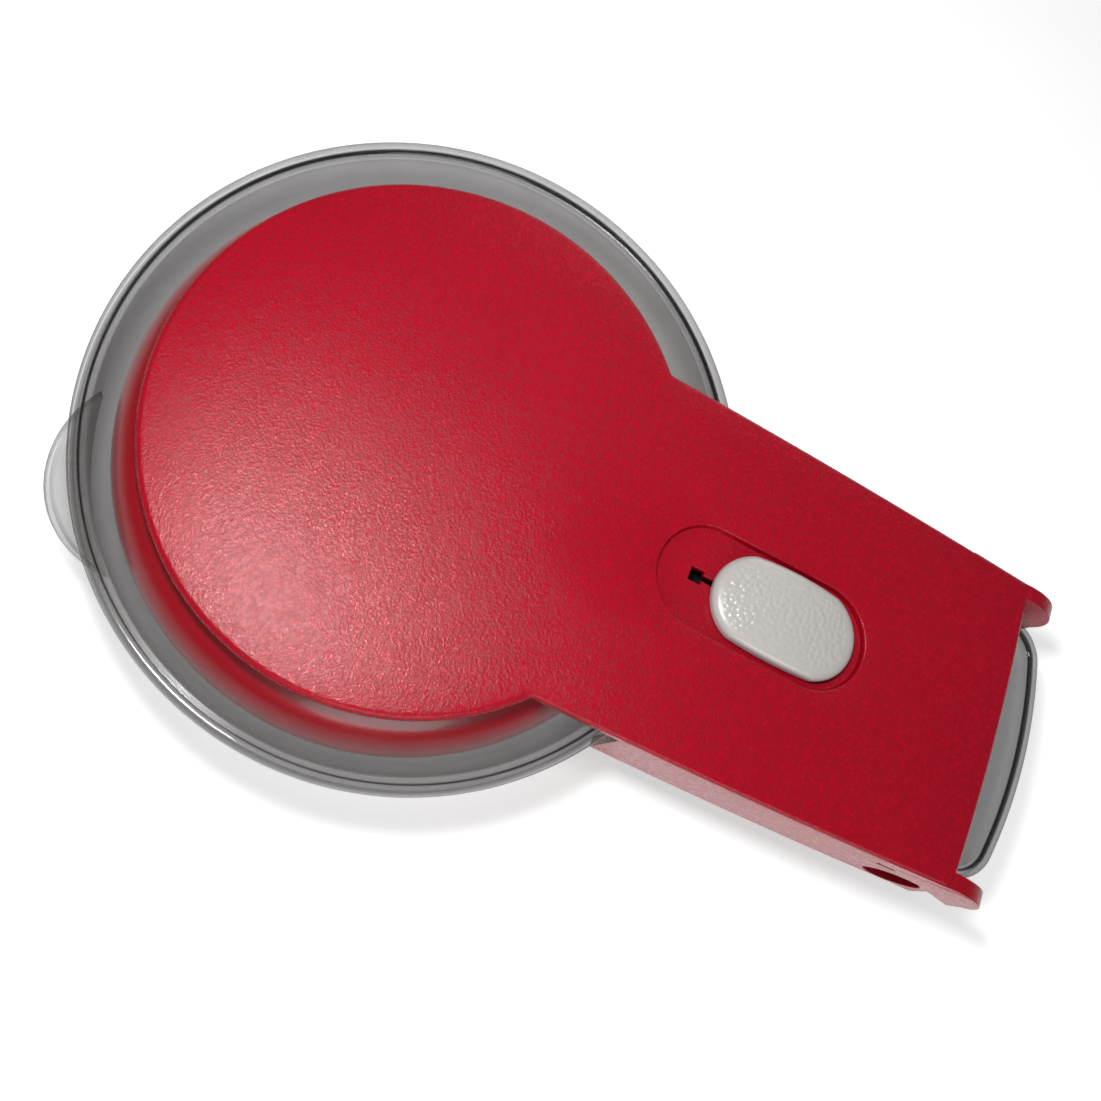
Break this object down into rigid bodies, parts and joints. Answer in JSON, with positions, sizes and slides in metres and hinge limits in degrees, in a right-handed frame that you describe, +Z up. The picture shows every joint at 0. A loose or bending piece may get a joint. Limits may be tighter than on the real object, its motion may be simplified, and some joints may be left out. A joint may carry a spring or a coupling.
{
  "type": "can opener",
  "caption": "Battery can opener: a round powered head with a broad handle and slide switch, hinged in a clear bowl that covers its cutting side.",
  "frame": {"origin": "centre of the round head, on the surface that the bowl stands on", "axes": "+X along the handle towards the hinge, +Z up through the head, +Y to the left of the handle"},
  "size_m": [0.19, 0.123, 0.0352],
  "materials": {
    "clear_plastic": "polished, faintly smoked",
    "red_matte": "fine spark-eroded grain",
    "red_gloss": "glossy moulding",
    "white_button": "glossy with a pebbled top",
    "ivory_plastic": "as moulded",
    "gear_nylon": "as moulded",
    "black_plastic": "as moulded",
    "cell_jacket": "printed sleeve, plain",
    "spring_brass": "rolled",
    "bright_steel": "nickel plated",
    "plated_steel": "zinc plated",
    "hard_steel": "ground and hardened",
    "nickel_magnet": "nickel plated",
    "ferrite": "sintered",
    "copper_winding": "enamelled wire",
    "red_lead": "insulated lead",
    "black_lead": "insulated lead"
  },
  "bodies": {
    "base": {"clear_bowl": "clear_plastic"},
    "opener": {"top_cover": "red_matte", "lower_housing": "red_gloss", "positive_contact": "spring_brass", "negative_contact": "spring_brass", "rear_contact": "spring_brass", "switch_contact": "spring_brass", "battery_springs": "bright_steel", "battery_left": "cell_jacket", "battery_right": "cell_jacket", "motor_can": "bright_steel", "motor_end_cap": "ivory_plastic", "motor_magnets": "ferrite", "gear_plate": "plated_steel", "first_gear_axle": "bright_steel", "second_gear_axle": "bright_steel", "drive_bush": "spring_brass", "plate_bush": "spring_brass", "cutter_pivot": "bright_steel", "cutter_spring": "bright_steel", "magnet_holder": "black_plastic", "lid_magnet": "nickel_magnet", "cover_screws": "bright_steel", "gear_plate_screws": "bright_steel", "motor_screws": "bright_steel", "motor_lead": "red_lead", "battery_lead": "black_lead"},
    "switch": {"slide_button": "white_button", "button_slider": "ivory_plastic", "contact_bridge": "spring_brass"},
    "door": {"battery_door": "red_gloss"},
    "rotor": {"motor_armature": "copper_winding", "motor_shaft": "bright_steel", "motor_pinion": "spring_brass"},
    "first_wheel": {"first_gear": "gear_nylon"},
    "second_wheel": {"second_gear": "gear_nylon"},
    "drive": {"output_gear": "plated_steel", "drive_shaft": "bright_steel", "drive_wheel": "hard_steel", "wheel_screw": "bright_steel"},
    "arm": {"cutter_arm": "plated_steel", "cutter_axle": "bright_steel"},
    "cutter": {"cutter_wheel": "hard_steel"}
  },
  "joints": [
    {"name": "lid_hinge", "type": "hinge", "parent": "base", "child": "opener", "pos_m": [0.1126, 0, 0.0182], "axis": [0, 1, 0], "range_deg": [0, 40]},
    {"name": "switch_slide", "type": "slide", "parent": "opener", "child": "switch", "axis": [-1, 0, 0], "range_m": [0, 0.009]},
    {"name": "door_slide", "type": "slide", "parent": "opener", "child": "door", "axis": [1, 0, 0], "range_m": [0, 0.0045]},
    {"name": "drive_spin", "type": "hinge", "parent": "opener", "child": "drive", "pos_m": [-0.025, 0, 0.01], "axis": [0, 0, 1], "continuous": true},
    {"name": "second_gear_spin", "type": "hinge", "parent": "opener", "child": "second_wheel", "pos_m": [-0.01029, 0.01234, 0.012], "axis": [0, 0, 1], "continuous": true},
    {"name": "first_gear_spin", "type": "hinge", "parent": "opener", "child": "first_wheel", "pos_m": [0.00493, 0.0068, 0.014], "axis": [0, 0, 1], "continuous": true},
    {"name": "rotor_spin", "type": "hinge", "parent": "opener", "child": "rotor", "pos_m": [0.01457, -0.00469, 0.02], "axis": [0, 0, 1], "continuous": true},
    {"name": "cutter_arm_swing", "type": "hinge", "parent": "opener", "child": "arm", "pos_m": [-0.033, -0.022, 0.0068], "axis": [0, 0, 1], "range_deg": [0, 6], "stiffness_Nm_per_rad": 0.02},
    {"name": "cutter_spin", "type": "hinge", "parent": "arm", "child": "cutter", "pos_m": [-0.038, 0, 0.0045], "axis": [0, 0, 1], "continuous": true}
  ],
  "couplings": [
    {"joint": "first_gear_spin", "follows": "rotor_spin", "ratio": -0.25},
    {"joint": "second_gear_spin", "follows": "rotor_spin", "ratio": 0.071429},
    {"joint": "drive_spin", "follows": "rotor_spin", "ratio": -0.02381}
  ]
}
